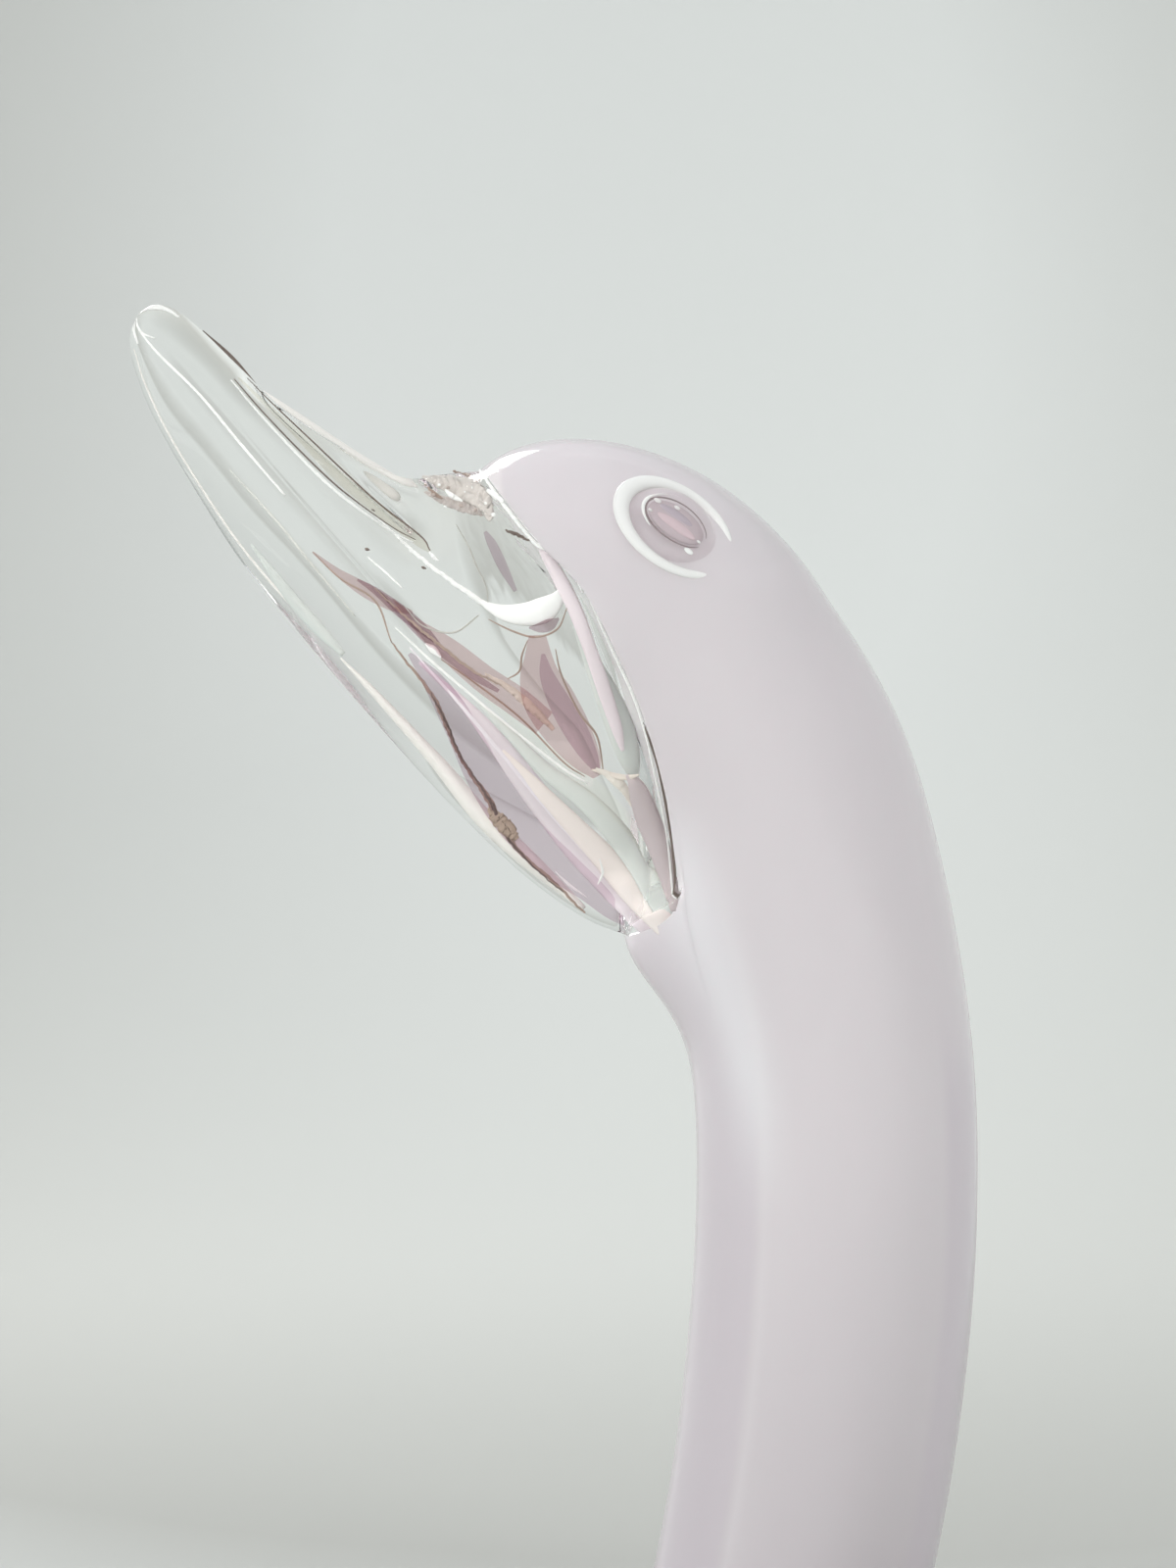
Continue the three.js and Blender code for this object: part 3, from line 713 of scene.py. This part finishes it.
def sealed(piece, stuff, node):
    """Gives a piece its glass and its place in the frame, and lets light through to what lies behind it."""
    piece.data.materials.append(stuff)
    piece.visible_shadow = False
    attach(piece, "root")
    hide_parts(node)


def drop(name, at, ways, sizes, stuff, node):
    """A ball at a place, stretched to its half sizes along three directions."""
    lift = np.linspace(0.01, np.pi - 0.01, 48)[:, None]
    spin = np.linspace(0, 2 * np.pi, 80, endpoint=False)[None]
    a, b, c = np.sin(lift) * np.cos(spin), np.sin(lift) * np.sin(spin), np.cos(lift) * np.ones_like(spin)
    parts = [size * part[..., None] * way for size, part, way in zip(sizes, (a, b, c), ways)]
    sealed(skin(name, at + sum(parts)), stuff, node)


def hoop(name, at, ways, reach, wide, high, stuff, node, begin, end):
    """Part of an oval hoop from one angle to another: a point on the oval, plus the hoop's oval section, which
    shrinks with the root of a sine to a point at either end."""
    spin = np.linspace(begin, end, 120)[:, None]
    thin = np.sqrt(np.clip(np.sin(np.linspace(0.02, np.pi - 0.02, 120)), 0, 1))[:, None]
    turn = np.linspace(0, 2 * np.pi, 20, endpoint=False)[None]
    out = 1 + thin * wide * np.cos(turn) / reach[0]
    a, b = reach[0] * out * np.cos(spin), reach[1] * out * np.sin(spin)
    c = thin * high * np.sin(turn)
    rings = at + a[..., None] * ways[0] + b[..., None] * ways[1] + c[..., None] * ways[2]
    sealed(skin(name, rings), stuff, node)


# The white ring round each eye's foot: a painted highlight, a ring of light.
ring_highlight = material("eye_fillet_painted_highlight", Base_Color=(0.97, 0.96, 0.94, 1), Roughness=0.05, IOR=1.5)[0]
eye_glass = material(
    "eye_glass", Base_Color=(0.87, 0.845, 0.85, 1), Roughness=0.0, IOR=1.4, Transmission_Weight=1.0,
)[0]
eye_rose = milk("eye_rose", (0.63, 0.55, 0.575), 0.15)
eye_streak = milk("eye_streak", (0.76, 0.63, 0.66), 0.15)
eye_grey = milk("eye_grey", (0.56, 0.50, 0.55), 0.15)
eye_line = milk("eye_line", (0.36, 0.30, 0.30), 0.2)
for hand, side, node in (("left", 1, "eye_left"), ("right", -1, "eye_right")):
    at = np.array([EYE_AT[0], side * rod_half_width(*np.array(EYE_AT)), EYE_AT[1]])
    near = ((at[0] - axis_x) ** 2 + (at[2] - axis_z) ** 2).argmin()
    out = at - [axis_x[near], 0, axis_z[near]]
    out = out / np.linalg.norm(out)
    along = np.array([-axis_fz[near], 0, axis_fx[near]])
    along = along - out * (along @ out)
    along = along / np.linalg.norm(along)
    ways = (along, np.cross(out, along), out)
    down = side * ways[1]
    dome = (EYE_SIZE[0] / 2, EYE_SIZE[1] / 2 * 0.95, EYE_HEIGHT + EYE_SINK)
    drop(f"swan_eye_{hand}", at - EYE_SINK * out, ways, dome, eye_glass, node)
    ring_at = at - RING_SINK * out + 0.3 * along
    hoop(f"eye_ring_{hand}", ring_at, ways, RING_REACH, 0.78, 0.42, ring_highlight, node, 0.3, 6.2)
    lens = at + 0.75 * out + 0.05 * along + 0.4 * down
    on_lens = lens + 0.2 * out
    drop(f"eye_rose_{hand}", lens, ways, (*LENS_REACH, 0.3), eye_rose, node)
    drop(f"eye_streak_{hand}", on_lens + 0.35 * down + 0.2 * along, ways, (1.9, 0.45, 0.18), eye_streak, node)
    drop(f"eye_grey_{hand}", on_lens - 0.45 * down - 0.3 * along, ways, (1.6, 0.4, 0.16), eye_grey, node)
    hoop(f"eye_rim_{hand}", lens + 0.05 * out, ways, LENS_RIM, 0.13, 0.1, eye_line, node, 0.3, 5.9)
    # A white painted highlight arc on the lens.
    hoop(f"eye_light_{hand}", on_lens, ways, (3.2, 2.1), 0.17, 0.1, highlight_white, node, 2.2, 4.2)
    # Painted glints: small white drops on the lens.
    for count, (ahead, below, size) in enumerate(GLINTS):
        glint = lens + 0.35 * out + ahead * along + below * down
        drop(f"eye_glint_{hand}_{count}", glint, ways, (size, size * 0.6, 0.1), highlight_white, node)

# The setting: a pale sweep of card, flat under the swan and rising all round it, with painted shade that
# darkens it away from a bright middle behind the swan, a pale sky, soft lamps to the left, the right and over
# the card behind, and the camera straight to the side of the head. In metres.

SWEEP_FLAT = 0.45
SWEEP_ROUND = 1.3
SWEEP_TOP = 1.4
SWEEP_AROUND = 96
spin = 2 * np.pi * np.arange(SWEEP_AROUND) / SWEEP_AROUND
bend = np.linspace(0, np.pi / 2, 24)
profile = np.concatenate([
    np.stack([np.linspace(0.001, SWEEP_FLAT, 8), np.zeros(8)], -1),
    np.stack([SWEEP_FLAT + SWEEP_ROUND * np.sin(bend), SWEEP_ROUND * (1 - np.cos(bend))], -1)[1:],
    [[SWEEP_FLAT + SWEEP_ROUND, SWEEP_TOP]],
])
grid = np.stack([
    profile[:, :1] * np.cos(spin), profile[:, :1] * np.sin(spin), profile[:, 1:] * np.ones_like(spin),
], axis=-1)
n, m, _ = grid.shape
j, k = np.arange(m), (np.arange(m) + 1) % m
row = np.arange(n - 1)[:, None] * m
quads = np.stack([row + j, row + k, row + m + k, row + m + j], axis=-1).reshape(-1, 4)
mesh = bpy.data.meshes.new("pale_sweep")
mesh.from_pydata(grid.reshape(-1, 3).tolist(), [], quads.tolist() + [list(range(m))[::-1]])
mesh.polygons.foreach_set("use_smooth", np.ones(len(mesh.polygons), bool))
sweep = bpy.data.objects.new("pale_sweep", mesh)
bpy.context.collection.objects.link(sweep)
card, nodes, links, shader = material("pale_card_painted_shade", Roughness=0.9)
place = nodes.new("ShaderNodeTexCoord")


def far_from(middle, stretch):
    """How far a point of the card is from a middle: the length of its offset, stretched along X, Y and Z."""
    source = place.outputs["Object"]
    for operation, value in (("SUBTRACT", middle), ("MULTIPLY", stretch)):
        made = nodes.new("ShaderNodeVectorMath")
        made.operation = operation
        links.new(source, made.inputs[0])
        made.inputs[1].default_value = value
        source = made.outputs["Vector"]
    length = nodes.new("ShaderNodeVectorMath")
    length.operation = "LENGTH"
    links.new(source, length.inputs[0])
    return length.outputs["Value"]


# Painted shade on the card: darker the farther a point lies from a bright middle behind the swan, only within a
# zone round the view, and lighter again outside it.
shaded_zone = nodes.new("ShaderNodeMapRange")
for socket, value in (("From Min", 0.72), ("From Max", 0.85), ("To Min", 1.0), ("To Max", 0.0)):
    shaded_zone.inputs[socket].default_value = value
links.new(far_from((0.0, 0.98, 0.115), (3.2, 0.763, 0.87)), shaded_zone.inputs["Value"])
dimmed = nodes.new("ShaderNodeMath")
dimmed.operation = "MULTIPLY"
links.new(far_from((0.0, 1.31, 0.19), (2.2, 0.40, 0.87)), dimmed.inputs[0])
links.new(shaded_zone.outputs["Result"], dimmed.inputs[1])
shade = nodes.new("ShaderNodeValToRGB")
lit, dim = shade.color_ramp.elements
lit.position, lit.color = 0.2, (0.69, 0.705, 0.685, 1)
dim.position, dim.color = 0.62, (0.43, 0.43, 0.40, 1)
links.new(dimmed.outputs["Value"], shade.inputs["Fac"])
links.new(shade.outputs["Color"], shader.inputs["Base Color"])
mesh.materials.append(card)

world = bpy.data.worlds.new("studio")
bpy.context.scene.world = world
world.use_nodes = True
sky = world.node_tree.nodes["Background"]
sky.inputs["Color"].default_value = (0.9, 0.93, 0.95, 1)
sky.inputs["Strength"].default_value = 0.76


def lamp(name, place, towards, size, power):
    """A square soft lamp at a place, facing another."""
    light = bpy.data.lights.new(name, "AREA")
    light.shape = "SQUARE"
    light.size = size
    light.energy = power
    made = bpy.data.objects.new(name, light)
    bpy.context.collection.objects.link(made)
    made.location = place
    made.rotation_euler = (Vector(towards) - Vector(place)).to_track_quat("-Z", "Y").to_euler()
    return made


lamp("window_left", (-0.62, -0.45, 0.3), (0, 0, 0.06), 0.3, 2.0).visible_glossy = False
lamp("window_behind", (-0.24, 0.4, 0.47), (0, 0, 0.08), 0.2, 1.2)
lamp("front_soft", (0.65, -0.7, 0.55), (0, 0, 0.06), 0.8, 3.0).visible_glossy = False
lamp("backdrop_soft", (0.18, 0.46, 0.86), (0.0, 1.44, 0.29), 0.65, 3.8)

PHOTO_SIZE = (1200, 1600)
DISTANCE = 0.55
middle_x, middle_z = seen(PHOTO_SIZE[0] / 2, PHOTO_SIZE[1] / 2)
view = bpy.data.cameras.new("photo_view")
camera = bpy.data.objects.new("photo_view", view)
bpy.context.collection.objects.link(camera)
camera.location = (middle_x * MM, -DISTANCE, middle_z * MM)
camera.rotation_euler = (math.pi / 2, 0, 0)
view.sensor_width = 36
view.lens = view.sensor_width * DISTANCE / (PHOTO_SIZE[1] * PHOTO_PIXEL * MM)
view.clip_start = 0.01
view.clip_end = 10
bpy.context.scene.camera = camera
bpy.context.scene.view_settings.view_transform = "Standard"
cycles = bpy.context.scene.cycles
cycles.max_bounces = 14
cycles.transmission_bounces = 12
cycles.diffuse_bounces = 2
cycles.glossy_bounces = 3
cycles.adaptive_threshold = 0.05
